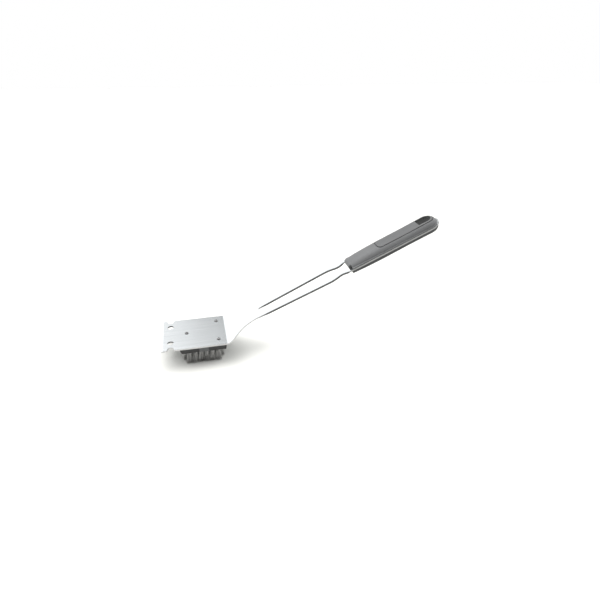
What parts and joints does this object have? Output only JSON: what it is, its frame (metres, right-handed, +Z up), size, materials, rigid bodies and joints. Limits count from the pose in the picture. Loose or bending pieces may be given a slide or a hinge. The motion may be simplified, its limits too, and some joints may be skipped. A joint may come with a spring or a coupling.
{
  "type": "grill cleaning brush",
  "caption": "Long-handled grill brush: bent sheet-steel scraper plate with edge notches, open twin-rail shaft, scaled handle with hang hole, wire brush block below.",
  "frame": {"origin": "middle of the footprint of the whole brush, on the plane of the bristle tips", "axes": "+X from the scraper edge along the tool towards the handle, +Z up from the bristle tips to the scraper plate, Y across; the scraper plate is level and the shaft rises by 24.8 degrees"},
  "size_m": [0.4061, 0.076, 0.1811],
  "materials": {
    "body_steel": "fine-brushed stainless sheet",
    "handle_plastic": "satin moulded plastic, dark grey",
    "inlay_plastic": "satin moulded plastic, dark grey with a cool tint",
    "block_plastic": "moulded plastic, charcoal",
    "band_plastic": "moulded plastic, grey green",
    "screw_steel": "bright screw steel",
    "wire_steel": "stainless wire, slightly dull",
    "anchor_steel": "plain steel strip"
  },
  "bodies": {
    "root": {"steel_body": "body_steel", "handle_upper_scale": "handle_plastic", "handle_lower_scale": "handle_plastic", "handle_inlay": "inlay_plastic", "handle_screws": "screw_steel", "brush_block": "block_plastic", "block_band": "band_plastic", "block_screws": "screw_steel", "bristle_row_1": "wire_steel", "bristle_row_2": "wire_steel", "bristle_row_3": "wire_steel", "bristle_row_4": "wire_steel", "bristle_row_5": "wire_steel", "bristle_row_6": "wire_steel", "bristle_row_7": "wire_steel", "anchor_row_1": "anchor_steel", "anchor_row_2": "anchor_steel", "anchor_row_3": "anchor_steel", "anchor_row_4": "anchor_steel", "anchor_row_5": "anchor_steel", "anchor_row_6": "anchor_steel", "anchor_row_7": "anchor_steel"}
  },
  "joints": []
}
